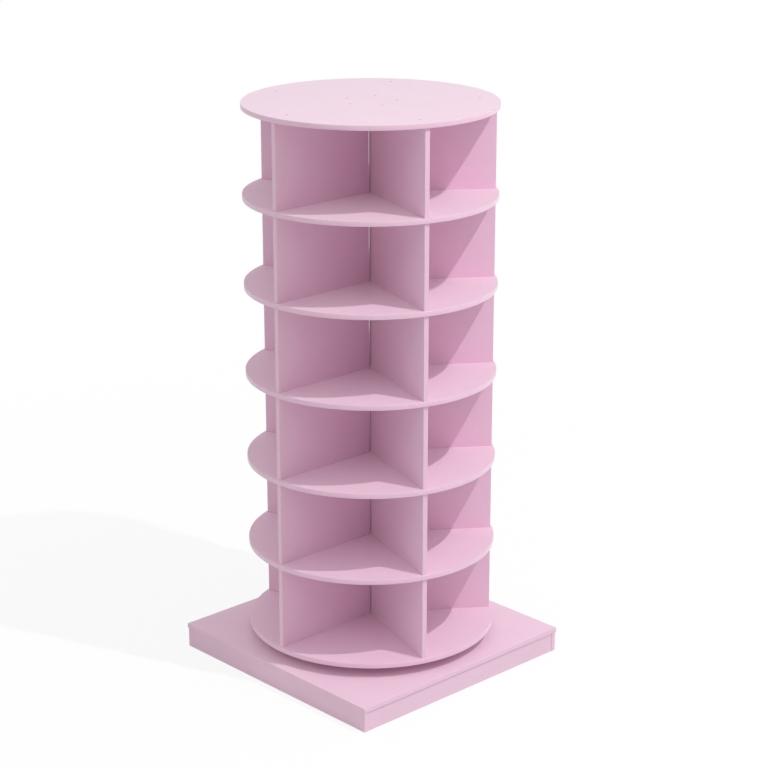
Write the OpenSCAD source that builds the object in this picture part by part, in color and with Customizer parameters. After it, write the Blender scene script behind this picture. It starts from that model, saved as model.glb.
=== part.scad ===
// Rotating shoe tower: round shelves and radial dividers that turn on a ball bearing over a square base.
// Millimetres. The origin is on the turning axis at floor level, +Z is up, and the base sides lie along X and Y.

/* [Tower] */
// Tiers of compartments, counted up from the base
tiers = 6; // [1:1:6]
// Compartments in each tier
sectors = 5; // [3:1:5]
// Diameter of every round shelf
shelf_d = 620; // [560:1:760]
// Clear height of every compartment
cell_h = 209; // [150:1:320]
// Step from a shelf's edge back to the outer edge of a divider
divider_setback = 4.5; // [0:0.5:20]
// Slit between the inner ends of neighbouring dividers
core_slit = 3.4; // [2:0.2:30]

/* [Boards] */
// Thickness of every board
board_t = 12; // [10:0.5:16]

/* [Base] */
// Side of the square top board
base_side = 673; // [600:1:800]
// Height of the aprons under the top board
apron_h = 51; // [46:1:120]
// Overhang of the top board past the aprons
top_overhang = 2; // [0:0.5:12]
// Step of the two side aprons behind the ends of the front and back aprons
side_setback = 1; // [0:0.5:5]
// Shadow gap between the side aprons and the top board
side_gap = 1.5; // [0.5:0.5:5]

/* [Bearing] */
// Side of the square bearing plates
bearing_side = 305; // [270:1:330]
// Height of the closed bearing
bearing_h = 14.5; // [13.5:0.5:20]
// Sheet thickness of the bearing plates
plate_t = 1.5; // [1:0.1:2]
// Corner radius of the bearing plates
plate_corner_r = 10; // [4:1:12]
// Distance of a bearing screw from the two nearest plate edges
plate_hole_inset = 12.5; // [11:0.5:16]
// Diameter of the circle that the balls run on
race_d = 220; // [180:1:230]
// Diameter of a bearing ball
ball_d = 8; // [6:0.5:9]
// Number of bearing balls
ball_count = 24; // [8:1:40]
// Thickness of the ball cage
cage_t = 2; // [1.5:0.1:2.5]
// Spacer board left outside the bearing screws
spacer_margin = 27; // [18:1:45]
// Diameter of the hole in the top board through which the upper bearing screws are driven
access_d = 22; // [14:1:30]

/* [Fasteners] */
// Length of a long wood screw
screw_l = 38; // [34:1:46]
// Shank diameter of every screw
screw_d = 4; // [3:0.5:4.5]
// Head diameter of every screw
head_d = 7; // [6:0.5:8]
// Reach of a corner block screw into the board that it holds
block_bite = 8; // [5:0.5:9]
// Reach of a bearing screw or a spacer screw into the second board
short_bite = 6.5; // [4:0.5:8]
// Distance of the inner divider screw from the divider's inner end
inner_screw_inset = 53; // [20:1:90]
// Distance of the outer divider screw from the divider's outer end
outer_screw_inset = 42; // [20:1:90]
// Thickness of a cap over a screw in the top shelf
cap_t = 0.8; // [0.5:0.1:1.5]
// Diameter of a dowel
dowel_d = 6; // [5:0.5:8]
// Reach of a dowel into a board's face
face_bite = 8; // [5:0.5:9]
// Reach of a dowel into a board's edge
edge_bite = 22; // [14:1:24]
// Reach of a divider dowel into the divider on each side of a shelf
divider_bite = 12; // [8:1:20]

/* [Hidden] */
// Clearance round a screw, a cap or a dowel in its hole
fit = 0.1;
// Clearance between a ball and the race groove
ball_gap = 0.3;
// Clearance between a ball and its pocket in the cage
pocket_gap = 0.25;
// Clearance between the cage and the race shoulders
cage_gap = 0.5;
// Clearance at each end of a side apron
apron_end_gap = 0.3;
// Flat land on each side of the race groove
race_land = 1;
// Flange of a bearing plate inside the race
plate_lip = 8;
// Rim of the ball cage on each side of a pocket
cage_rim = 3;
// Bottom clearance of a blind hole
hole_end_gap = 1;
// Height of a countersunk head
head_h = 2.2;
// Width and depth of one bar of a cross recess
recess_w = 1;
recess_depth = 1.4;
// Length of a cross recess as a share of the head's diameter
recess_share = 0.6;
// Length of a screw tip and of a dowel's end chamfer
tip_l = 4;
dowel_chamfer = 1;
// Diameter of a screw tip as a share of the shank's
tip_share = 0.25;
// Upper diameter of a pan head as a share of the head's
pan_share = 0.7;
// Overrun of every cut past the face that it opens
overrun = 1;
// Facets of large and of small round shapes
fn_large = 180;
fn_small = 32;

// Places of the dowels between the two screws of a divider
dowel_shares = [0.3, 0.7];
// Heights on an apron of its end dowels, as shares of the apron's height
end_dowel_shares = [0.25, 0.75];
// Heights in a corner block of the screws into the front or back apron, and of the one into the side apron
long_side_screw_shares = [0.27, 0.75];
short_side_screw_share = 0.51;
// Distance of the block screws from the block's centre, as a share of its side
block_offset_share = 0.27;
// Places along a front or back apron of its top dowels, as shares of the distance to its end
top_dowel_shares = [-0.6, 0, 0.6];
// Radius of the circle of spacer screws, as a share of the spacer's radius
spacer_screw_share = 0.8;
// Number of spacer screws
spacer_screw_count = 8;

board_pink = "#F4CCE3";
cap_pink = "#E08FBA";
block_wood = "#D8BE94";
dowel_wood = "#C9A877";
plate_steel = "#B9BCC0";
screw_steel = "#C9C4B4";
ball_steel = "#D9DCDF";
cage_nylon = "#EDEBE4";

shelf_r = shelf_d / 2;
base_top_z = apron_h + board_t;
spacer_z = base_top_z + bearing_h;
bottom_disc_z = spacer_z + board_t;
shelf_pitch = cell_h + board_t;
sector_angle = 360 / sectors;
divider_out_r = shelf_r - divider_setback;
divider_in_r = (core_slit / 2 + board_t / 2 * cos(sector_angle / 2)) / sin(sector_angle / 2);
inner_screw_r = divider_in_r + inner_screw_inset;
outer_screw_r = divider_out_r - outer_screw_inset;

apron_out = base_side / 2 - top_overhang;
apron_in = apron_out - board_t;
side_apron_out = apron_out - side_setback;
side_apron_in = side_apron_out - board_t;
block_side = screw_l - block_bite;
block_offset = block_side * block_offset_share;
base_dowel_l = face_bite + edge_bite;

ball_r = ball_d / 2;
race_r = race_d / 2;
groove_r = ball_r + ball_gap;
race_half_w = groove_r + plate_t + race_land;
shoulder_h = bearing_h / 2 - cage_t / 2 - cage_gap;
plate_hole_r = race_r - race_half_w - plate_lip;
plate_screw_xy = bearing_side / 2 - plate_hole_inset;
plate_screw_r = plate_screw_xy * sqrt(2);
spacer_r = plate_screw_r + spacer_margin;
bearing_screw_l = plate_t + board_t + short_bite;
spacer_screw_l = board_t + short_bite;
divider_dowel_l = board_t + 2 * divider_bite;
cap_d = head_d + 2 * fit;

function shelf_name(i) = str("shelf_disc_", i);
function divider_name(tier, place) = str("tier_", tier, "_divider_", place);

// Height of the underside of disc i, where 0 is the bottom disc and the last one is the top disc.
function disc_z(i) = bottom_disc_z + i * shelf_pitch;

// Depth of a screw head below the upper face of disc i: only the top disc has caps.
function head_sink(i) = i == tiers ? cap_t : 0;

// Turns what is drawn along +X to the direction of a divider. The first one points along -Y.
module at_divider(place) {
    rotate([0, 0, sector_angle * (place - 1) - 90]) children();
}

module at_every_divider() {
    for (place = [1:sectors]) at_divider(place) children();
}

module at_divider_screws() {
    for (x = [inner_screw_r, outer_screw_r]) translate([x, 0, 0]) children();
}

module at_divider_dowels() {
    for (share = dowel_shares)
        translate([inner_screw_r + share * (outer_screw_r - inner_screw_r), 0, 0]) children();
}

module at_plate_screws() {
    for (x = [-plate_screw_xy, plate_screw_xy], y = [-plate_screw_xy, plate_screw_xy])
        translate([x, y, 0]) children();
}

module at_spacer_screws() {
    for (i = [0:spacer_screw_count - 1])
        rotate([0, 0, 360 / spacer_screw_count * (i + 0.5)])
            translate([spacer_r * spacer_screw_share, 0, 0]) children();
}

module tube(outer_r, inner_r, h) {
    difference() {
        cylinder(r = outer_r, h = h, $fn = fn_large);
        translate([0, 0, -overrun]) cylinder(r = inner_r, h = h + 2 * overrun, $fn = fn_large);
    }
}

module ring_tunnel(r, tunnel_r) {
    rotate_extrude($fn = fn_large) translate([r, 0]) circle(r = tunnel_r, $fn = fn_small);
}

// Every screw points down, with the seat of its head at the origin for a pan head and the top for a flat one.
module screw_shank(length) {
    translate([0, 0, -length + tip_l]) cylinder(d = screw_d, h = length - tip_l, $fn = fn_small);
    translate([0, 0, -length]) cylinder(d1 = screw_d * tip_share, d2 = screw_d, h = tip_l, $fn = fn_small);
}

module cross_recess() {
    for (turn = [0, 90])
        rotate([0, 0, turn])
            translate([-head_d * recess_share / 2, -recess_w / 2, -recess_depth])
                cube([head_d * recess_share, recess_w, recess_depth + overrun]);
}

module flat_screw(length) {
    difference() {
        union() {
            screw_shank(length);
            translate([0, 0, -head_h]) cylinder(d1 = screw_d, d2 = head_d, h = head_h, $fn = fn_small);
        }
        cross_recess();
    }
}

module flat_screw_hole(length) {
    shank_hole(length);
    translate([0, 0, -head_h - fit])
        cylinder(d1 = screw_d + 2 * fit, d2 = head_d + 2 * fit, h = head_h + fit, $fn = fn_small);
    cylinder(d = head_d + 2 * fit, h = overrun, $fn = fn_small);
}

module shank_hole(length) {
    translate([0, 0, -length - hole_end_gap])
        cylinder(d = screw_d + 2 * fit, h = length + hole_end_gap + overrun, $fn = fn_small);
}

module pan_screw(length) {
    difference() {
        union() {
            screw_shank(length);
            cylinder(d1 = head_d, d2 = head_d * pan_share, h = head_h, $fn = fn_small);
        }
        translate([0, 0, head_h]) cross_recess();
    }
}

// A dowel along +Z, starting at the origin.
module dowel(length) {
    tip_d = dowel_d - 2 * dowel_chamfer;
    cylinder(d1 = tip_d, d2 = dowel_d, h = dowel_chamfer, $fn = fn_small);
    translate([0, 0, dowel_chamfer]) cylinder(d = dowel_d, h = length - 2 * dowel_chamfer, $fn = fn_small);
    translate([0, 0, length - dowel_chamfer])
        cylinder(d1 = dowel_d, d2 = tip_d, h = dowel_chamfer, $fn = fn_small);
}

module dowel_hole(length) {
    translate([0, 0, -hole_end_gap])
        cylinder(d = dowel_d + 2 * fit, h = length + 2 * hole_end_gap, $fn = fn_small);
}

// Places of the base dowels. Each child is a dowel or a hole along +Z that starts face_bite inside a face.
module at_end_dowels(x) {
    for (side = [0, 1], share = end_dowel_shares)
        mirror([0, side, 0])
            translate([x, apron_in + face_bite, apron_h * share]) rotate([90, 0, 0]) children();
}

module at_top_dowels() {
    for (side = [-1, 1], share = top_dowel_shares)
        translate([apron_out * share, side * (apron_out - board_t / 2), apron_h - edge_bite]) children();
}

module at_base_dowels() {
    for (side = [-1, 1]) {
        at_end_dowels(side * (side_apron_out - board_t / 2)) children();
        at_end_dowels(side * plate_screw_xy) children();
    }
    at_top_dowels() children();
}

// Places of the corner block screws. Each child points down its own -Z, into the board that it holds.
module at_block_screws() {
    block_x = side_apron_in - block_side / 2;
    block_y = apron_in - block_side / 2;
    for (mx = [0, 1], my = [0, 1]) mirror([mx, 0, 0]) mirror([0, my, 0]) {
        for (share = long_side_screw_shares)
            translate([block_x - block_offset, apron_in - block_side, apron_h * share])
                rotate([90, 0, 0]) children();
        translate([side_apron_in - block_side, block_y - block_offset, apron_h * short_side_screw_share])
            rotate([0, -90, 0]) children();
        translate([block_x, block_y, apron_h - block_side]) rotate([180, 0, 0]) children();
    }
}

module base_top_board() {
    color(board_pink) difference() {
        translate([-base_side / 2, -base_side / 2, apron_h]) cube([base_side, base_side, board_t]);
        translate([0, -plate_screw_r, apron_h - overrun])
            cylinder(d = access_d, h = board_t + 2 * overrun, $fn = fn_small);
        translate([0, 0, base_top_z + plate_t]) at_plate_screws() shank_hole(bearing_screw_l);
        at_top_dowels() dowel_hole(base_dowel_l);
        at_block_screws() shank_hole(screw_l);
    }
}

// The front apron lies on -Y. The back one is the same board, turned half round.
module long_apron() {
    color(board_pink) difference() {
        translate([-apron_out, -apron_out, 0]) cube([2 * apron_out, board_t, apron_h]);
        at_base_dowels() dowel_hole(base_dowel_l);
        at_block_screws() shank_hole(screw_l);
    }
}

module base_front_apron() {
    long_apron();
}

module base_back_apron() {
    rotate([0, 0, 180]) long_apron();
}

// The right apron lies on +X, between the front and back aprons.
module side_apron() {
    length = 2 * (apron_in - apron_end_gap);
    color(board_pink) difference() {
        translate([side_apron_in, -length / 2, 0]) cube([board_t, length, apron_h - side_gap]);
        at_base_dowels() dowel_hole(base_dowel_l);
        at_block_screws() shank_hole(screw_l);
    }
}

module base_right_apron() {
    side_apron();
}

module base_left_apron() {
    rotate([0, 0, 180]) side_apron();
}

// A rail carries the top board under two of the bearing's screws.
module rail() {
    color(board_pink) difference() {
        translate([plate_screw_xy - board_t / 2, -apron_in, 0]) cube([board_t, 2 * apron_in, apron_h]);
        at_base_dowels() dowel_hole(base_dowel_l);
        translate([0, 0, base_top_z + plate_t]) at_plate_screws() shank_hole(bearing_screw_l);
    }
}

module base_right_rail() {
    rail();
}

module base_left_rail() {
    rotate([0, 0, 180]) rail();
}

module base_corner_blocks() {
    color(block_wood) difference() {
        for (mx = [0, 1], my = [0, 1])
            mirror([mx, 0, 0]) mirror([0, my, 0])
                translate([side_apron_in - block_side, apron_in - block_side, 0])
                    cube([block_side, block_side, apron_h]);
        at_block_screws() flat_screw_hole(screw_l);
        at_block_screws() cylinder(d = head_d + 2 * fit, h = block_well_h(), $fn = fn_small);
    }
}

// The well from a block's underside up to the head of its upright screw. The other heads open on a side face.
function block_well_h() = apron_h - block_side + overrun;

module base_screws() {
    color(screw_steel) at_block_screws() flat_screw(screw_l);
}

module base_dowels() {
    color(dowel_wood) at_base_dowels() dowel(base_dowel_l);
}

// A pressed steel plate that lies on z = 0, with its race raised towards +Z.
module bearing_plate() {
    inner_side = bearing_side - 2 * plate_corner_r;
    corner = inner_side / 2;
    color(plate_steel) difference() {
        union() {
            translate([-corner, -bearing_side / 2, 0]) cube([inner_side, bearing_side, plate_t]);
            translate([-bearing_side / 2, -corner, 0]) cube([bearing_side, inner_side, plate_t]);
            for (x = [-corner, corner], y = [-corner, corner])
                translate([x, y, 0]) cylinder(r = plate_corner_r, h = plate_t, $fn = fn_small);
            cylinder(r = race_r + race_half_w, h = shoulder_h, $fn = fn_large);
        }
        translate([0, 0, plate_t]) cylinder(r = race_r - race_half_w, h = shoulder_h, $fn = fn_large);
        translate([0, 0, -overrun]) cylinder(r = plate_hole_r, h = bearing_h, $fn = fn_large);
        translate([0, 0, bearing_h / 2]) ring_tunnel(race_r, groove_r);
        difference() {
            translate([0, 0, -overrun])
                tube(
                    race_r + race_half_w - plate_t,
                    race_r - race_half_w + plate_t,
                    shoulder_h - plate_t + overrun
                );
            translate([0, 0, bearing_h / 2]) ring_tunnel(race_r, groove_r + plate_t);
        }
        at_plate_screws()
            translate([0, 0, -overrun])
                cylinder(d = screw_d + 2 * fit, h = plate_t + 2 * overrun, $fn = fn_small);
    }
}

module bearing_lower_plate() {
    translate([0, 0, base_top_z]) bearing_plate();
}

module bearing_upper_plate() {
    translate([0, 0, spacer_z]) mirror([0, 0, 1]) bearing_plate();
}

module bearing_lower_screws() {
    color(screw_steel)
        translate([0, 0, base_top_z + plate_t]) at_plate_screws() pan_screw(bearing_screw_l);
}

module bearing_upper_screws() {
    color(screw_steel)
        translate([0, 0, spacer_z - plate_t]) mirror([0, 0, 1]) at_plate_screws() pan_screw(bearing_screw_l);
}

module at_balls() {
    for (i = [0:ball_count - 1])
        rotate([0, 0, 360 / ball_count * i]) translate([race_r, 0, base_top_z + bearing_h / 2]) children();
}

module ball_cage() {
    half_w = ball_r + cage_rim;
    color(cage_nylon) difference() {
        translate([0, 0, base_top_z + bearing_h / 2 - cage_t / 2]) tube(race_r + half_w, race_r - half_w, cage_t);
        at_balls()
            translate([0, 0, -cage_t]) cylinder(r = ball_r + pocket_gap, h = 2 * cage_t, $fn = fn_small);
    }
}

module bearing_balls() {
    color(ball_steel) at_balls() sphere(d = ball_d, $fn = fn_small);
}

module spacer_disc() {
    color(board_pink) difference() {
        translate([0, 0, spacer_z]) cylinder(r = spacer_r, h = board_t, $fn = fn_large);
        translate([0, 0, spacer_z]) mirror([0, 0, 1]) at_spacer_screws() flat_screw_hole(spacer_screw_l);
        translate([0, 0, spacer_z - plate_t])
            mirror([0, 0, 1]) at_plate_screws() shank_hole(bearing_screw_l);
    }
}

module spacer_screws() {
    color(screw_steel)
        translate([0, 0, spacer_z]) mirror([0, 0, 1]) at_spacer_screws() flat_screw(spacer_screw_l);
}

module disc_blank(i) {
    translate([0, 0, disc_z(i)]) cylinder(r = shelf_r, h = board_t, $fn = fn_large);
}

// Places of the screws that hold the dividers: down through disc i, or up through the bottom disc.
module at_disc_screws(i) {
    if (i == 0)
        translate([0, 0, disc_z(i)]) mirror([0, 0, 1]) at_every_divider() at_divider_screws() children();
    else
        translate([0, 0, disc_z(i) + board_t - head_sink(i)])
            at_every_divider() at_divider_screws() children();
}

// Places of the dowels through disc i, each starting divider_bite below the disc.
module at_disc_dowels(i) {
    translate([0, 0, disc_z(i) - divider_bite]) at_every_divider() at_divider_dowels() children();
}

module bottom_disc() {
    color(board_pink) difference() {
        disc_blank(0);
        at_disc_screws(0) flat_screw_hole(screw_l);
        translate([0, 0, spacer_z]) mirror([0, 0, 1]) at_spacer_screws() shank_hole(spacer_screw_l);
        translate([0, 0, spacer_z - plate_t])
            mirror([0, 0, 1]) at_plate_screws() shank_hole(bearing_screw_l);
    }
}

module shelf_disc(i) {
    color(board_pink) difference() {
        disc_blank(i);
        at_disc_screws(i) flat_screw_hole(screw_l);
        at_disc_dowels(i) dowel_hole(divider_dowel_l);
    }
}

module top_disc() {
    color(board_pink) difference() {
        disc_blank(tiers);
        at_disc_screws(tiers) flat_screw_hole(screw_l);
        at_disc_screws(tiers) cylinder(d = cap_d + 2 * fit, h = cap_t + overrun, $fn = fn_small);
    }
}

module divider(tier, place) {
    color(board_pink) difference() {
        translate([0, 0, disc_z(tier - 1) + board_t])
            at_divider(place)
                translate([divider_in_r, -board_t / 2, 0])
                    cube([divider_out_r - divider_in_r, board_t, cell_h]);
        divider_holes(tier);
    }
}

// The holes in the lower and upper edges of every divider of one tier.
module divider_holes(tier) {
    at_disc_screws(tier) shank_hole(screw_l);
    if (tier == 1) at_disc_screws(0) shank_hole(screw_l);
    if (tier > 1) at_disc_dowels(tier - 1) dowel_hole(divider_dowel_l);
    if (tier < tiers) at_disc_dowels(tier) dowel_hole(divider_dowel_l);
}

module divider_screws() {
    color(screw_steel) for (i = [0:tiers]) at_disc_screws(i) flat_screw(screw_l);
}

module divider_dowels() {
    color(dowel_wood) if (tiers > 1) for (i = [1:tiers - 1]) at_disc_dowels(i) dowel(divider_dowel_l);
}

module screw_caps() {
    color(cap_pink) at_disc_screws(tiers) cylinder(d = cap_d, h = cap_t, $fn = fn_small);
}

base_top_board();
base_front_apron();
base_back_apron();
base_left_apron();
base_right_apron();
base_left_rail();
base_right_rail();
base_corner_blocks();
base_screws();
base_dowels();
bearing_lower_plate();
bearing_lower_screws();
ball_cage();
bearing_balls();
bearing_upper_plate();
bearing_upper_screws();
spacer_disc();
spacer_screws();
bottom_disc();
if (tiers > 1) for (i = [1:tiers - 1]) shelf_disc(i);
top_disc();
for (tier = [1:tiers], place = [1:sectors])
    divider(tier, place);
divider_screws();
divider_dowels();
screw_caps();
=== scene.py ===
"""Looks of the rotating shoe tower: its boards, bearing and fasteners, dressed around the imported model.

Every size is in metres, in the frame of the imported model: +Z is up, and the origin is on the turning axis at
floor level. The boards, the caps and the corner blocks are modelled here and stand for the plain nodes. The
bearing, the screws and the dowels keep their own meshes and get their finishes here.
"""

import logging
import math
from collections.abc import Sequence
from dataclasses import dataclass, field
from enum import Enum

import bmesh
import bpy
from mathutils import Matrix, Vector


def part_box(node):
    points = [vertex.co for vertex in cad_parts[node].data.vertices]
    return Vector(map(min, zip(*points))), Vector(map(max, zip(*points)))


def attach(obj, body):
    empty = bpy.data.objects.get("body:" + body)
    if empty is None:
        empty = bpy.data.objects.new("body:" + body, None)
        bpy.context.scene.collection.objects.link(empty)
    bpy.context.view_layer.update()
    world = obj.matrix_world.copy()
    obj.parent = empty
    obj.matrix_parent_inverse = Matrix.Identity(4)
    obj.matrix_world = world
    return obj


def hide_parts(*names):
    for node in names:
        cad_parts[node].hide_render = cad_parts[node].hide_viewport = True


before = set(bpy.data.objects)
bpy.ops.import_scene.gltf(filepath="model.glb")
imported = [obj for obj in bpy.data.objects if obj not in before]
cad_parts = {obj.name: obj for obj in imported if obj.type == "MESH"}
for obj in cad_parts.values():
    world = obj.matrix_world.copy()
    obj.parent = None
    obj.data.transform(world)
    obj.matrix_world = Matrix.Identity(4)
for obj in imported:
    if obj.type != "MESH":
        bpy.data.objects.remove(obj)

MM = 0.001
PHOTO_PIXELS = 768
WHITE = (1.0, 1.0, 1.0, 1.0)
LEFT, RIGHT = Vector((-1, 0, 0)), Vector((1, 0, 0))
FRONT, BACK = Vector((0, -1, 0)), Vector((0, 1, 0))
DOWN, UP = Vector((0, 0, -1)), Vector((0, 0, 1))
# Least cosine between a face's normal and the way that the face looks.
FACING = 0.9
log = logging.getLogger("shoe_tower")


class Body(Enum):
    """The rigid bodies that new pieces ride on."""

    BASE = "base"
    TOWER = "tower"


class Slot(Enum):
    """The record's material slots that new pieces take their finish from."""

    BOARD = "board"
    CAP = "cap"
    BLOCK = "block_wood"


def linear(code: str) -> tuple[float, float, float, float]:
    """Turns an sRGB hex colour to linear light.

    Args:
        code: The colour, such as "#E7C8DA".

    Returns:
        Red, green, blue and an alpha of 1.
    """
    parts = [int(code[i : i + 2], 16) / 255 for i in (1, 3, 5)]
    red, green, blue = (c / 12.92 if c <= 0.04045 else ((c + 0.055) / 1.055) ** 2.4 for c in parts)
    return red, green, blue, 1.0


def add_node(
    tree: bpy.types.NodeTree,
    kind: str,
    settings: dict[str, object] | None = None,
    inputs: dict[str | int, object] | None = None,
) -> bpy.types.Node:
    """Adds a node with its settings and links.

    Args:
        tree: The node tree that takes the node.
        kind: The node's type name.
        settings: Attribute names and values.
        inputs: Input names or numbers, each with a value or with the output socket to link.

    Returns:
        The new node.
    """
    node = tree.nodes.new(kind)
    for name, value in (settings or {}).items():
        setattr(node, name, value)
    for name, value in (inputs or {}).items():
        if isinstance(value, bpy.types.NodeSocket):
            tree.links.new(value, node.inputs[name])
        else:
            node.inputs[name].default_value = value
    return node


@dataclass(frozen=True)
class Finish:
    """A surface finish. Each kind of finish adds its own pattern to one Principled shader."""

    name: str
    colour: str
    roughness: float
    metallic: float = 0.0
    ior: float = 1.5
    # How much white light the resin skin scatters towards a flat view.
    haze: float = 0.0

    def material(self) -> bpy.types.Material:
        """Makes the finish's material, or finds it where it is made already.

        Returns:
            The material.
        """
        found = bpy.data.materials.get(self.name)
        if found:
            return found
        material = bpy.data.materials.new(self.name)
        material.use_nodes = True
        material.diffuse_color = linear(self.colour)
        tree = material.node_tree
        tree.nodes.clear()
        shader = add_node(
            tree,
            "ShaderNodeBsdfPrincipled",
            inputs={
                "Base Color": linear(self.colour),
                "Metallic": self.metallic,
                "Roughness": self.roughness,
                "IOR": self.ior,
                "Sheen Weight": self.haze,
            },
        )
        add_node(tree, "ShaderNodeOutputMaterial", inputs={"Surface": shader.outputs[0]})
        self.wire(tree, shader)
        return material

    def wire(self, tree: bpy.types.NodeTree, shader: bpy.types.Node) -> None:
        """Adds the finish's pattern.

        Args:
            tree: The material's node tree.
            shader: Its Principled shader.
        """

    def shades(
        self, tree: bpy.types.NodeTree, factor: bpy.types.NodeSocket, stops: Sequence[tuple[float, str]]
    ) -> bpy.types.NodeSocket:
        """Turns a pattern into colours.

        Args:
            tree: The material's node tree.
            factor: The pattern, from 0 to 1.
            stops: Places from 0 to 1, each with its hex colour.

        Returns:
            The colour output.
        """
        ramp = add_node(tree, "ShaderNodeValToRGB", inputs={"Fac": factor})
        elements = ramp.color_ramp.elements
        while len(elements) < len(stops):
            elements.new(0.5)
        for element, (place, code) in zip(elements, stops):
            element.position = place
            element.color = linear(code)
        return ramp.outputs["Color"]

    def bump(
        self, tree: bpy.types.NodeTree, shader: bpy.types.Node, height: bpy.types.NodeSocket, depth: float
    ) -> None:
        """Adds surface relief.

        Args:
            tree: The material's node tree.
            shader: The shader that takes the relief.
            height: The pattern of heights.
            depth: The relief's depth in metres.
        """
        node = add_node(tree, "ShaderNodeBump", inputs={"Height": height, "Distance": depth, "Strength": 1.0})
        tree.links.new(node.outputs["Normal"], shader.inputs["Normal"])


@dataclass(frozen=True)
class MelamineFace(Finish):
    """Pink melamine paper pressed on particle board with a pearl plate, which gives a smooth satin face."""

    light: str = "#F5CDE4"
    dark: str = "#F2CAE1"
    mottle: float = 90 * MM
    # The pearl of a pressed face is about 0.5 mm across, too fine to show, so it is drawn at 3 mm.
    pearl: float = 3 * MM
    pearl_depth: float = 0.004 * MM
    gloss_drift: float = 0.03

    def wire(self, tree: bpy.types.NodeTree, shader: bpy.types.Node) -> None:
        """Adds a faint mottle to the colour and gloss, and the pearl of the press plate.

        Args:
            tree: The material's node tree.
            shader: Its Principled shader.
        """
        place = add_node(tree, "ShaderNodeTexCoord").outputs["Object"]
        cloud = add_node(
            tree, "ShaderNodeTexNoise", inputs={"Vector": place, "Scale": 1 / self.mottle, "Detail": 3.0}
        ).outputs["Fac"]
        grit = add_node(
            tree, "ShaderNodeTexNoise", inputs={"Vector": place, "Scale": 1 / self.pearl, "Detail": 2.0}
        ).outputs["Fac"]
        colour = self.shades(tree, cloud, ((0.3, self.dark), (0.7, self.light)))
        tree.links.new(colour, shader.inputs["Base Color"])
        ends = {"To Min": self.roughness - self.gloss_drift, "To Max": self.roughness + self.gloss_drift}
        gloss = add_node(tree, "ShaderNodeMapRange", inputs={"Value": cloud, **ends})
        tree.links.new(gloss.outputs["Result"], shader.inputs["Roughness"])
        self.bump(tree, shader, grit, self.pearl_depth)


@dataclass(frozen=True)
class EdgeBand(Finish):
    """Pink ABS edge band, glued on and milled round: a little smoother than the face, with mill marks."""

    light: str = "#F5CDE4"
    dark: str = "#F2CAE1"
    drift: float = 60 * MM
    # Mill marks are about 1 mm apart, too fine to show, so they are drawn at 4 mm.
    chatter: float = 4 * MM
    chatter_depth: float = 0.006 * MM
    # How fast the marks change up the band, as a share of how fast they change along it.
    upright_share: float = 0.15

    def wire(self, tree: bpy.types.NodeTree, shader: bpy.types.Node) -> None:
        """Adds the mill marks, which stand across the band, and a slow drift of colour.

        Args:
            tree: The material's node tree.
            shader: Its Principled shader.
        """
        place = add_node(tree, "ShaderNodeTexCoord").outputs["Object"]
        stretch = add_node(
            tree, "ShaderNodeMapping", inputs={"Vector": place, "Scale": (1.0, 1.0, self.upright_share)}
        ).outputs["Vector"]
        marks = add_node(
            tree, "ShaderNodeTexNoise", inputs={"Vector": stretch, "Scale": 1 / self.chatter, "Detail": 1.0}
        ).outputs["Fac"]
        cloud = add_node(
            tree, "ShaderNodeTexNoise", inputs={"Vector": place, "Scale": 1 / self.drift, "Detail": 2.0}
        ).outputs["Fac"]
        colour = self.shades(tree, cloud, ((0.3, self.dark), (0.7, self.light)))
        tree.links.new(colour, shader.inputs["Base Color"])
        self.bump(tree, shader, marks, self.chatter_depth)


@dataclass(frozen=True)
class ParticleCore(Finish):
    """Bare particle board, as drilled holes show it: pressed chips in tans and browns."""

    chip: float = 2.5 * MM
    chip_depth: float = 0.2 * MM
    gap: str = "#8A6A46"
    mid: str = "#B8976A"
    pale: str = "#D9BE93"

    def wire(self, tree: bpy.types.NodeTree, shader: bpy.types.Node) -> None:
        """Adds the chips, each with its own tone, and the pits between them.

        Args:
            tree: The material's node tree.
            shader: Its Principled shader.
        """
        place = add_node(tree, "ShaderNodeTexCoord").outputs["Object"]
        cells = add_node(tree, "ShaderNodeTexVoronoi", inputs={"Vector": place, "Scale": 1 / self.chip})
        tone = add_node(tree, "ShaderNodeSeparateColor", inputs={0: cells.outputs["Color"]}).outputs[0]
        colour = self.shades(tree, tone, ((0.0, self.gap), (0.45, self.mid), (1.0, self.pale)))
        tree.links.new(colour, shader.inputs["Base Color"])
        self.bump(tree, shader, cells.outputs["Distance"], self.chip_depth)


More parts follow.
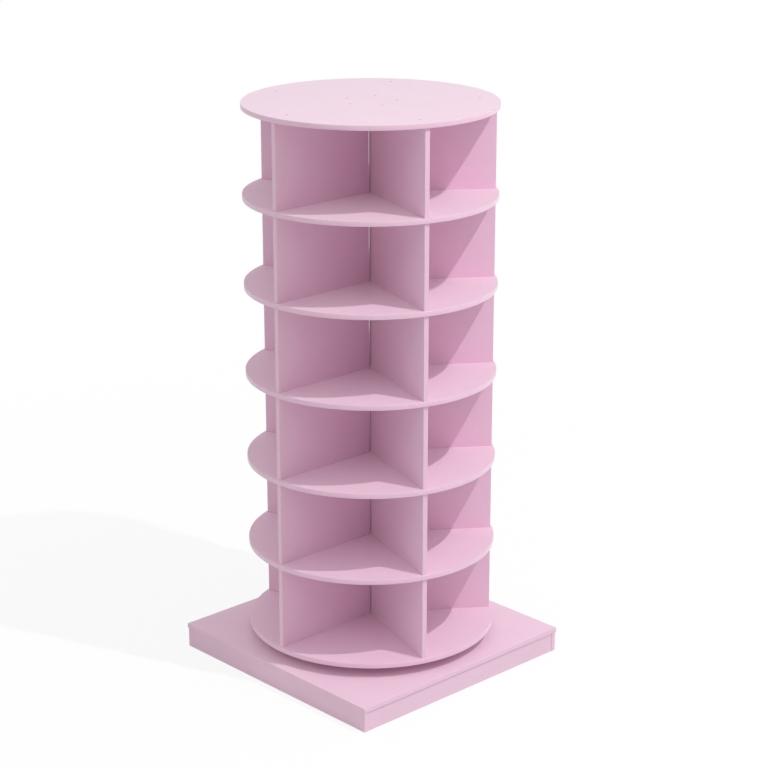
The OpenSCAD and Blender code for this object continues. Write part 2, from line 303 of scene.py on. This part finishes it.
@dataclass(frozen=True)
class SolidWood(Finish):
    """Bare sawn or turned wood with its grain along Z: growth rings, and fine pores."""

    early: str = "#E2C79B"
    late: str = "#B98F5C"
    ring: float = 4 * MM
    # At this scale the ring texture's rings are about one unit apart.
    ring_unit: float = 0.3
    wander: float = 3.0
    # How fast rings and pores change along the grain, as a share of how fast they change across it.
    along_share: float = 0.08
    pore: float = 0.8 * MM
    pore_depth: float = 0.05 * MM

    def wire(self, tree: bpy.types.NodeTree, shader: bpy.types.Node) -> None:
        """Adds rings that wander slowly along the grain, and short pores.

        Args:
            tree: The material's node tree.
            shader: Its Principled shader.
        """
        place = add_node(tree, "ShaderNodeTexCoord").outputs["Object"]
        along = add_node(
            tree, "ShaderNodeMapping", inputs={"Vector": place, "Scale": (1.0, 1.0, self.along_share)}
        ).outputs["Vector"]
        rings = add_node(
            tree,
            "ShaderNodeTexWave",
            {"wave_type": "RINGS", "rings_direction": "Z"},
            {"Vector": along, "Scale": self.ring_unit / self.ring, "Distortion": self.wander, "Detail": 2.0},
        ).outputs["Fac"]
        pores = add_node(
            tree, "ShaderNodeTexNoise", inputs={"Vector": along, "Scale": 1 / self.pore, "Detail": 2.0}
        ).outputs["Fac"]
        colour = self.shades(tree, rings, ((0.1, self.early), (0.9, self.late)))
        tree.links.new(colour, shader.inputs["Base Color"])
        self.bump(tree, shader, pores, self.pore_depth)


@dataclass(frozen=True)
class Steel(Finish):
    """Steel with a plated or polished skin: a silver tone in cloudy patches, and fine rolling marks."""

    bright: str = "#D4D7DA"
    dull: str = "#B4B8BC"
    patch: float = 12 * MM
    gloss_drift: float = 0.08
    rolled: float = 0.6 * MM
    rolled_depth: float = 0.01 * MM
    # How fast the marks change along the rolling, as a share of how fast they change across it.
    along_share: float = 0.05

    def wire(self, tree: bpy.types.NodeTree, shader: bpy.types.Node) -> None:
        """Adds the clouds of the skin to colour and gloss, and the rolling marks.

        Args:
            tree: The material's node tree.
            shader: Its Principled shader.
        """
        place = add_node(tree, "ShaderNodeTexCoord").outputs["Object"]
        cloud = add_node(
            tree, "ShaderNodeTexNoise", inputs={"Vector": place, "Scale": 1 / self.patch, "Detail": 4.0}
        ).outputs["Fac"]
        colour = self.shades(tree, cloud, ((0.35, self.dull), (0.65, self.bright)))
        tree.links.new(colour, shader.inputs["Base Color"])
        ends = {"To Min": self.roughness + self.gloss_drift, "To Max": self.roughness - self.gloss_drift}
        gloss = add_node(tree, "ShaderNodeMapRange", inputs={"Value": cloud, **ends})
        tree.links.new(gloss.outputs["Result"], shader.inputs["Roughness"])
        drawn = add_node(
            tree, "ShaderNodeMapping", inputs={"Vector": place, "Scale": (1.0, self.along_share, 1.0)}
        ).outputs["Vector"]
        marks = add_node(
            tree, "ShaderNodeTexNoise", inputs={"Vector": drawn, "Scale": 1 / self.rolled, "Detail": 2.0}
        ).outputs["Fac"]
        self.bump(tree, shader, marks, self.rolled_depth)


@dataclass(frozen=True)
class Moulded(Finish):
    """Injection-moulded plastic with a spark-eroded matt skin."""

    shade: str = "#E4E1D6"
    grit: float = 0.8 * MM
    grit_depth: float = 0.02 * MM

    def wire(self, tree: bpy.types.NodeTree, shader: bpy.types.Node) -> None:
        """Adds the skin's grit to relief and, faintly, to colour.

        Args:
            tree: The material's node tree.
            shader: Its Principled shader.
        """
        place = add_node(tree, "ShaderNodeTexCoord").outputs["Object"]
        grit = add_node(
            tree, "ShaderNodeTexNoise", inputs={"Vector": place, "Scale": 1 / self.grit, "Detail": 3.0}
        ).outputs["Fac"]
        colour = self.shades(tree, grit, ((0.2, self.shade), (0.8, self.colour)))
        tree.links.new(colour, shader.inputs["Base Color"])
        self.bump(tree, shader, grit, self.grit_depth)


MELAMINE = MelamineFace("pink_melamine_face", "#F4CCE3", 0.58, haze=0.9)
BAND = EdgeBand("pink_abs_edge_band", "#F4CCE3", 0.5, haze=0.9)
CORE = ParticleCore("bare_particle_board", "#B8976A", 0.85)
PINE = SolidWood("sawn_pine", "#D8BE94", 0.7)
BEECH = SolidWood("turned_beech", "#C9A877", 0.6, early="#D9B98C", late="#C09A68", ring=2 * MM)
ZINC = Steel("zinc_plated_steel", "#C9CCCF", 0.36, metallic=1.0)
BALL_STEEL = Steel("polished_bearing_steel", "#DCDEE0", 0.12, metallic=1.0, bright="#E2E4E6", dull="#D2D5D8")
NYLON = Moulded("moulded_nylon", "#EDEBE4", 0.5)
CAP_PLASTIC = Moulded("moulded_pink_cap", "#E392BD", 0.55, shade="#DD8BB6")


class Face(Enum):
    """Material slots of a board, by number."""

    MELAMINE = 0
    BAND = 1
    CORE = 2


BOARD_FINISHES = (MELAMINE, BAND, CORE)


@dataclass(frozen=True)
class Hole:
    """A drilled hole. Its mouth is at place, and it is bored along direction."""

    place: Vector
    direction: Vector
    diameter: float
    depth: float
    mouth_diameter: float = 0.0
    mouth_depth: float = 0.0
    # Run of the drill out past the mouth.
    overrun: float = 0.5 * MM
    facets: int = 24

    def cut(self, cutter: bmesh.types.BMesh) -> None:
        """Adds the drill's solid to a cutter mesh.

        Args:
            cutter: The mesh that is taken away from the board.
        """
        turn = self.direction.to_track_quat("Z", "Y").to_matrix().to_4x4()
        seat = Matrix.Translation(self.place) @ turn
        shank_r = self.diameter / 2
        cones = [(self.depth, shank_r)]
        if self.mouth_depth:
            # A countersink widens towards the mouth, and runs out past the face at the same slope.
            slope = (self.mouth_diameter / 2 - shank_r) / self.mouth_depth
            cones.append((self.mouth_depth, self.mouth_diameter / 2 + slope * self.overrun))
        for depth, mouth_r in cones:
            bmesh.ops.create_cone(
                cutter,
                cap_ends=True,
                segments=self.facets,
                radius1=mouth_r,
                radius2=shank_r,
                depth=depth + self.overrun,
                matrix=seat @ Matrix.Translation((0, 0, (depth - self.overrun) / 2)),
            )


def cut_away(board: bpy.types.Object, cutter_mesh: bmesh.types.BMesh) -> None:
    """Takes a solid out of a board and keeps the result as the board's mesh.

    Args:
        board: The board, at the origin.
        cutter_mesh: The solid to take away. It is used up.
    """
    cutter_data = bpy.data.meshes.new("cutter")
    cutter_mesh.to_mesh(cutter_data)
    cutter_mesh.free()
    cutter = bpy.data.objects.new("cutter", cutter_data)
    bpy.context.scene.collection.objects.link(cutter)
    boolean = board.modifiers.new("drill", "BOOLEAN")
    boolean.operation = "DIFFERENCE"
    boolean.solver = "EXACT"
    boolean.use_self = True
    boolean.object = cutter
    drilled = bpy.data.meshes.new_from_object(board.evaluated_get(bpy.context.evaluated_depsgraph_get()))
    plain = board.data
    board.modifiers.clear()
    board.data = drilled
    drilled.name = plain.name
    bpy.data.meshes.remove(plain)
    bpy.data.objects.remove(cutter)
    bpy.data.meshes.remove(cutter_data)


def add_piece(
    name: str,
    node: str,
    shape: bmesh.types.BMesh,
    finishes: Sequence[Finish],
    body: Body,
    holes: Sequence[Hole] = (),
) -> None:
    """Turns a shape into a piece that rides on a body.

    Args:
        name: The piece's name.
        node: The node that it stands for.
        shape: Its mesh, in place. It is used up.
        finishes: The finish of each material slot, in the order of the faces' material numbers.
        body: The body that carries it.
        holes: What is drilled into it, with the finish of the last material slot.
    """
    mesh = bpy.data.meshes.new(name)
    shape.to_mesh(mesh)
    shape.free()
    piece = bpy.data.objects.new(name, mesh)
    bpy.context.scene.collection.objects.link(piece)
    for finish in finishes:
        mesh.materials.append(finish.material())
    if holes:
        cutter = bmesh.new()
        for hole in holes:
            hole.cut(cutter)
        for face in cutter.faces:
            face.material_index = len(finishes) - 1
        cut_away(piece, cutter)
    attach(piece, body.value)
    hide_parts(node)
    log.info("%s: %d faces, on %s", name, len(piece.data.polygons), body.value)


def add_board(node: str, shape: bmesh.types.BMesh, body: Body, holes: Sequence[Hole] = ()) -> None:
    """Turns a board's shape into the piece that stands for its node."""
    add_piece(f"{node}_board", node, shape, BOARD_FINISHES, body, holes)


@dataclass
class Joiner:
    """Makes boards with eased edges, and knows the sizes of the screws and of their holes."""

    board_t: float
    ease: float = 0.6 * MM
    ease_segments: int = 3
    rim_segments: int = 256
    screw_l: float = 38 * MM
    screw_hole_d: float = 4.2 * MM
    head_hole_d: float = 7.2 * MM
    head_h: float = 2.2 * MM
    # Board left under a blind hole, and run of the drill past a board that it goes through.
    blind_floor: float = 1 * MM
    drill_past: float = 1 * MM
    # Edges whose ends differ less than this in height are level.
    level: float = 0.1 * MM

    def block(self, low: Vector, high: Vector, banded: Sequence[Vector] = ()) -> bmesh.types.BMesh:
        """Makes a straight board.

        Args:
            low: Its lowest corner.
            high: Its highest corner.
            banded: Outward directions of the edges that have a band.

        Returns:
            The board's mesh.
        """
        shape = bmesh.new()
        bmesh.ops.create_cube(shape, size=1.0)
        bmesh.ops.scale(shape, vec=high - low, verts=shape.verts)
        bmesh.ops.translate(shape, vec=(low + high) / 2, verts=shape.verts)
        for face in shape.faces:
            if any(face.normal.dot(way) > FACING for way in banded):
                face.material_index = Face.BAND.value
        self.ease_edges(shape, shape.edges[:])
        return shape

    def disc(self, radius: float, low_z: float, high_z: float) -> bmesh.types.BMesh:
        """Makes a round board with a banded rim.

        Args:
            radius: Its radius.
            low_z: Height of its underside.
            high_z: Height of its upper face.

        Returns:
            The board's mesh.
        """
        shape = bmesh.new()
        bmesh.ops.create_circle(shape, cap_ends=True, segments=self.rim_segments, radius=radius)
        bmesh.ops.translate(shape, vec=(0, 0, low_z), verts=shape.verts)
        lower = shape.faces[:]
        made = bmesh.ops.extrude_face_region(shape, geom=lower, use_keep_orig=True)
        raised = [v for v in made["geom"] if isinstance(v, bmesh.types.BMVert)]
        bmesh.ops.translate(shape, vec=(0, 0, high_z - low_z), verts=raised)
        bmesh.ops.recalc_face_normals(shape, faces=shape.faces)
        for face in shape.faces:
            if abs(face.normal.dot(UP)) < FACING:
                face.material_index = Face.BAND.value
                face.smooth = True
        rims = [edge for edge in shape.edges if abs(edge.verts[0].co.z - edge.verts[1].co.z) < self.level]
        self.ease_edges(shape, rims)
        return shape

    def ease_edges(self, shape: bmesh.types.BMesh, edges: Sequence[bmesh.types.BMEdge]) -> None:
        """Rounds edges over, as the banding machine's cutter does.

        Args:
            shape: The board.
            edges: Its sharp edges.
        """
        rounded = bmesh.ops.bevel(
            shape,
            geom=edges,
            offset=self.ease,
            segments=self.ease_segments,
            profile=0.5,
            affect="EDGES",
            material=-1,
        )
        for face in rounded["faces"]:
            face.smooth = True


@dataclass
class Divider:
    """One upright board between two shelves."""

    tier: int
    place: int
    places: int
    joiner: Joiner

    def build(self) -> None:
        """Models the divider along -Y, where the first one of its tier stands, and turns it to its place."""
        low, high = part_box(f"tier_{self.tier}_divider_1")
        shape = self.joiner.block(low, high, banded=[FRONT, BACK])
        turn = Matrix.Rotation(2 * math.pi / self.places * (self.place - 1), 4, "Z")
        bmesh.ops.transform(shape, matrix=turn, verts=shape.verts)
        add_board(f"tier_{self.tier}_divider_{self.place}", shape, Body.TOWER)


@dataclass
class Tower:
    """The part that turns: seven round shelves, held apart by radial dividers."""

    joiner: Joiner
    tiers: int
    places: int
    # Distances of a divider's two screws from its inner and its outer end.
    inner_screw_inset: float = 53 * MM
    outer_screw_inset: float = 42 * MM
    cap_t: float = 0.8 * MM
    cap_d: float = 7.2 * MM
    cap_gap: float = 0.04 * MM
    cap_ease: float = 0.15 * MM
    cap_ease_segments: int = 3
    cap_facets: int = 24
    # A face of a cap whose normal rises more than this is its flat top.
    flat_top: float = 0.999

    def build(self) -> None:
        """Builds the shelves and the spacer, the dividers and the caps."""
        shelves = (f"shelf_disc_{i}" for i in range(1, self.tiers))
        for node in ("bottom_disc", *shelves, "top_disc", "spacer_disc"):
            self.disc(node)
        for tier in range(1, self.tiers + 1):
            for place in range(1, self.places + 1):
                Divider(tier, place, self.places, self.joiner).build()
        self.caps()

    def screw_places(self) -> list[Vector]:
        """Works out where the divider screws stand.

        Returns:
            Their places, seen from above, at height zero.
        """
        outer, inner = (-corner.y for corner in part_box("tier_1_divider_1"))
        radii = (inner + self.inner_screw_inset, outer - self.outer_screw_inset)
        angles = (2 * math.pi / self.places * i for i in range(self.places))
        ways = (Vector((math.sin(angle), -math.cos(angle), 0)) for angle in angles)
        return [way * radius for way in ways for radius in radii]

    def disc(self, node: str) -> None:
        """Models one round board, with the screw holes that show.

        Args:
            node: The node that it stands for.
        """
        low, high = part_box(node)
        shape = self.joiner.disc(high.y, low.z, high.z)
        holes = []
        if node == "top_disc":
            face = Vector((0, 0, high.z))
            bore = (self.cap_d + 2 * self.cap_gap, self.cap_t + self.cap_gap)
            holes = [Hole(face + at, DOWN, *bore) for at in self.screw_places()]
        if node == "bottom_disc":
            face = Vector((0, 0, low.z))
            bore = (self.joiner.screw_hole_d, self.joiner.board_t - self.joiner.blind_floor)
            sink = (self.joiner.head_hole_d, self.joiner.head_h)
            holes = [Hole(face + at, UP, *bore, *sink) for at in self.screw_places()]
        add_board(node, shape, Body.TOWER, holes)

    def caps(self) -> None:
        """Models the caps over the screws of the top shelf, each a flat disc with a rounded rim."""
        node = "screw_caps"
        low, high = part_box(node)
        middle = (low.z + high.z) / 2
        shape = bmesh.new()
        for at in self.screw_places():
            bmesh.ops.create_cone(
                shape,
                cap_ends=True,
                segments=self.cap_facets,
                radius1=self.cap_d / 2,
                radius2=self.cap_d / 2,
                depth=self.cap_t,
                matrix=Matrix.Translation(at + Vector((0, 0, middle))),
            )
        bmesh.ops.bevel(
            shape,
            geom=[edge for edge in shape.edges if all(vert.co.z > middle for vert in edge.verts)],
            offset=self.cap_ease,
            segments=self.cap_ease_segments,
            profile=0.5,
            affect="EDGES",
            material=-1,
        )
        for face in shape.faces:
            face.smooth = face.normal.z < self.flat_top
        add_piece(f"{node}_moulded", node, shape, [CAP_PLASTIC], Body.TOWER)


@dataclass
class Base:
    """The part that stands still: a square board on four aprons, with rails and corner blocks underneath."""

    joiner: Joiner
    access_d: float = 22 * MM
    # Reach of a corner block's screw into the board that it holds.
    block_bite: float = 8 * MM

    def build(self) -> None:
        """Builds the boards of the base and the blocks in its corners."""
        self.top_board()
        for side in ("front", "back"):
            self.board(f"base_{side}_apron", [LEFT, RIGHT])
        for node in ("base_left_apron", "base_right_apron", "base_left_rail", "base_right_rail"):
            self.board(node)
        self.blocks()

    def board(self, node: str, banded: Sequence[Vector] = ()) -> None:
        """Models one straight board from its node's box and its banded edges."""
        add_board(node, self.joiner.block(*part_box(node), banded=banded), Body.BASE)

    def top_board(self) -> None:
        """Models the square top board, banded all round, with the hole that a driver reaches through."""
        node = "base_top_board"
        low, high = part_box(node)
        shape = self.joiner.block(low, high, banded=[LEFT, RIGHT, FRONT, BACK])
        # The upper plate's screws, which stand as far out as the lower plate's, pass over the hole in turn.
        screw_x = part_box("bearing_lower_screws")[1].x - self.joiner.head_hole_d / 2
        mouth = Vector((0, -screw_x * math.sqrt(2), low.z))
        hole = Hole(mouth, UP, self.access_d, self.joiner.board_t + self.joiner.drill_past)
        add_board(node, shape, Body.BASE, [hole])

    def blocks(self) -> None:
        """Models the four corner blocks, each with the well of its upright screw."""
        node = "base_corner_blocks"
        low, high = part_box(node)
        side = self.joiner.screw_l - self.block_bite
        well = high.z - side
        for x_name, x in (("left", -high.x), ("right", high.x)):
            for y_name, y in (("front", -high.y), ("back", high.y)):
                inner_x, inner_y = x - math.copysign(side, x), y - math.copysign(side, y)
                lowest = Vector((min(x, inner_x), min(y, inner_y), low.z))
                highest = Vector((max(x, inner_x), max(y, inner_y), high.z))
                mouth = Vector(((x + inner_x) / 2, (y + inner_y) / 2, low.z))
                hole = Hole(mouth, UP, self.joiner.head_hole_d, well)
                shape = self.joiner.block(lowest, highest)
                name = f"corner_block_{x_name}_{y_name}"
                add_piece(name, node, shape, [PINE], Body.BASE, [hole])


@dataclass
class Hardware:
    """Pieces whose own meshes are right and only need their finish."""

    finishes: dict[str, Finish] = field(
        default_factory=lambda: {
            "base_screws": ZINC,
            "base_dowels": BEECH,
            "bearing_lower_plate": ZINC,
            "bearing_lower_screws": ZINC,
            "ball_cage": NYLON,
            "bearing_balls": BALL_STEEL,
            "bearing_upper_plate": ZINC,
            "bearing_upper_screws": ZINC,
            "spacer_screws": ZINC,
            "divider_screws": ZINC,
            "divider_dowels": BEECH,
        }
    )

    def dress(self) -> None:
        """Gives each node its finish."""
        for node, finish in self.finishes.items():
            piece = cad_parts[node]
            piece.data.materials.clear()
            piece.data.materials.append(finish.material())
            log.info("%s: %s", node, finish.name)


@dataclass
class Studio:
    """A white floor, a small bright key light from the right, a white surround, and the camera."""

    key_place: Vector = field(default_factory=lambda: Vector((3.414, 0.961, 6.090)))
    key_aim: Vector = field(default_factory=lambda: Vector((0, 0, 0.7)))
    key_d: float = 0.10
    key_watts: float = 179.0
    # Strength of the surround's brightest ring.
    surround_peak: float = 1.4
    # Heights, from 0 at the horizon to 1 overhead, each with its light as a share of the brightest ring's.
    surround: tuple[tuple[float, float], ...] = ((0.0, 0.12), (0.35, 0.28), (0.7, 1.0), (1.0, 0.0))
    floor_side: float = 80.0
    floor_colour: str = "#DADADA"
    # How much of the floor's own shade shows near the tower, and of the shadow with it.
    floor_shadow_share: float = 0.16
    # Distances from the axis between which that fades into white.
    floor_fade: tuple[float, float] = (0.9, 3.2)
    camera_distance: float = 5.0021
    camera_height: float = 2.3477
    camera_azimuth: float = math.radians(46.999)
    camera_pan: float = math.radians(0.368)
    camera_tilt: float = math.radians(18.048)
    focal_pixels: float = 2118.26
    sensor: float = 36.0

    def build(self) -> None:
        """Builds the floor, the lights and the camera."""
        self.floor()
        self.world()
        self.key()
        self.camera()

    def floor(self) -> None:
        """Lays the floor."""
        shape = bmesh.new()
        bmesh.ops.create_grid(shape, x_segments=1, y_segments=1, size=self.floor_side / 2)
        mesh = bpy.data.meshes.new("floor")
        shape.to_mesh(mesh)
        shape.free()
        floor = bpy.data.objects.new("floor", mesh)
        bpy.context.scene.collection.objects.link(floor)
        mesh.materials.append(self.floor_paint())

    def floor_paint(self) -> bpy.types.Material:
        """Paints the floor. It shows nearly white, and keeps the shadow of what stands on it.

        Returns:
            The floor's material.
        """
        material = bpy.data.materials.new("pale_studio_floor")
        material.use_nodes = True
        tree = material.node_tree
        tree.nodes.clear()
        paint = add_node(tree, "ShaderNodeBsdfDiffuse", inputs={"Color": linear(self.floor_colour)})
        seen_paint = add_node(tree, "ShaderNodeBsdfDiffuse", inputs={"Color": WHITE})
        white = add_node(tree, "ShaderNodeEmission", inputs={"Color": WHITE, "Strength": 1.0})
        place = add_node(tree, "ShaderNodeTexCoord").outputs["Object"]
        away = add_node(tree, "ShaderNodeVectorMath", {"operation": "LENGTH"}, {0: place})
        share = add_node(
            tree,
            "ShaderNodeMapRange",
            {"interpolation_type": "SMOOTHSTEP"},
            {
                "Value": away.outputs["Value"],
                "From Min": self.floor_fade[0],
                "From Max": self.floor_fade[1],
                "To Min": self.floor_shadow_share,
                "To Max": 0.0,
            },
        )
        shown = add_node(
            tree,
            "ShaderNodeMixShader",
            inputs={0: share.outputs["Result"], 1: white.outputs[0], 2: seen_paint.outputs[0]},
        )
        mixed = add_node(
            tree,
            "ShaderNodeMixShader",
            inputs={0: self.showing(tree), 1: paint.outputs[0], 2: shown.outputs[0]},
        )
        add_node(tree, "ShaderNodeOutputMaterial", inputs={"Surface": mixed.outputs[0]})
        return material

    def world(self) -> None:
        """Surrounds the scene with white light, strongest in a ring high up, and shows it as plain white."""
        world = bpy.data.worlds.new("white_surround")
        world.use_nodes = True
        tree = world.node_tree
        tree.nodes.clear()
        way = add_node(tree, "ShaderNodeTexCoord").outputs["Generated"]
        height = add_node(tree, "ShaderNodeSeparateXYZ", inputs={0: way}).outputs["Z"]
        curve = add_node(tree, "ShaderNodeFloatCurve", inputs={"Value": height})
        self.shape_curve(curve.mapping)
        lit = add_node(
            tree, "ShaderNodeMath", {"operation": "MULTIPLY"}, {0: curve.outputs[0], 1: self.surround_peak}
        )
        strength = add_node(
            tree,
            "ShaderNodeMapRange",
            {"clamp": False},
            {"Value": self.showing(tree), "To Min": lit.outputs[0], "To Max": 1.0},
        )
        light = add_node(
            tree, "ShaderNodeBackground", inputs={"Color": WHITE, "Strength": strength.outputs[0]}
        )
        add_node(tree, "ShaderNodeOutputWorld", inputs={"Surface": light.outputs[0]})
        bpy.context.scene.world = world

    def showing(self, tree: bpy.types.NodeTree) -> bpy.types.NodeSocket:
        """Tells what is seen, straight on, mirrored or through glass, from what only gives light.

        Args:
            tree: The node tree of the floor or the surround.

        Returns:
            An output that is 1 for a ray that shows a picture, and 0 for one that gathers light.
        """
        ray = add_node(tree, "ShaderNodeLightPath")
        straight = add_node(
            tree,
            "ShaderNodeMath",
            {"operation": "MAXIMUM"},
            {0: ray.outputs["Is Camera Ray"], 1: ray.outputs["Is Glossy Ray"]},
        )
        through = add_node(
            tree,
            "ShaderNodeMath",
            {"operation": "MAXIMUM"},
            {0: straight.outputs[0], 1: ray.outputs["Is Transmission Ray"]},
        )
        return through.outputs[0]

    def shape_curve(self, mapping: bpy.types.CurveMapping) -> None:
        """Draws the surround's light by height as a curve of straight runs.

        Args:
            mapping: The curve to shape.
        """
        points = mapping.curves[0].points
        while len(points) < len(self.surround):
            points.new(0.5, 0.5)
        for point, place in zip(points, self.surround):
            point.location = place
        for point in points:
            point.handle_type = "VECTOR"
        mapping.update()

    def key(self) -> None:
        """Hangs the key light, which is small enough for the crisp shadows of the shelves."""
        lamp = bpy.data.lights.new("key_light", "AREA")
        lamp.shape = "DISK"
        lamp.size = self.key_d
        lamp.energy = self.key_watts
        key = bpy.data.objects.new("key_light", lamp)
        key.location = self.key_place
        key.rotation_mode = "QUATERNION"
        key.rotation_quaternion = (self.key_aim - self.key_place).to_track_quat("-Z", "Y")
        bpy.context.scene.collection.objects.link(key)

    def camera(self) -> None:
        """Sets the camera up at the photograph's viewing angle."""
        data = bpy.data.cameras.new("camera")
        data.sensor_fit = "HORIZONTAL"
        data.sensor_width = self.sensor
        data.lens = self.focal_pixels / PHOTO_PIXELS * self.sensor
        camera = bpy.data.objects.new("camera", data)
        turn = Matrix.Rotation(self.camera_azimuth, 3, "Z")
        camera.location = turn @ Vector((0, -self.camera_distance, self.camera_height))
        flat = math.cos(self.camera_tilt)
        ahead = turn @ Vector(
            (math.sin(self.camera_pan) * flat, math.cos(self.camera_pan) * flat, -math.sin(self.camera_tilt))
        )
        camera.rotation_mode = "QUATERNION"
        camera.rotation_quaternion = ahead.to_track_quat("-Z", "Y")
        bpy.context.scene.collection.objects.link(camera)
        bpy.context.scene.camera = camera


def main() -> None:
    """Builds the scene."""
    logging.basicConfig(level=logging.INFO, format="%(name)s: %(message)s")
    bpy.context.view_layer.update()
    bpy.context.scene.view_settings.view_transform = "Standard"
    low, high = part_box("base_top_board")
    joiner = Joiner(board_t=high.z - low.z)
    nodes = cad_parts
    tiers = 1 + sum(name.startswith("shelf_disc_") for name in nodes)
    places = sum(name.startswith("tier_1_divider_") for name in nodes)
    Studio().build()
    Base(joiner).build()
    Tower(joiner, tiers, places).build()
    Hardware().dress()


if __name__ == "__main__":
    main()
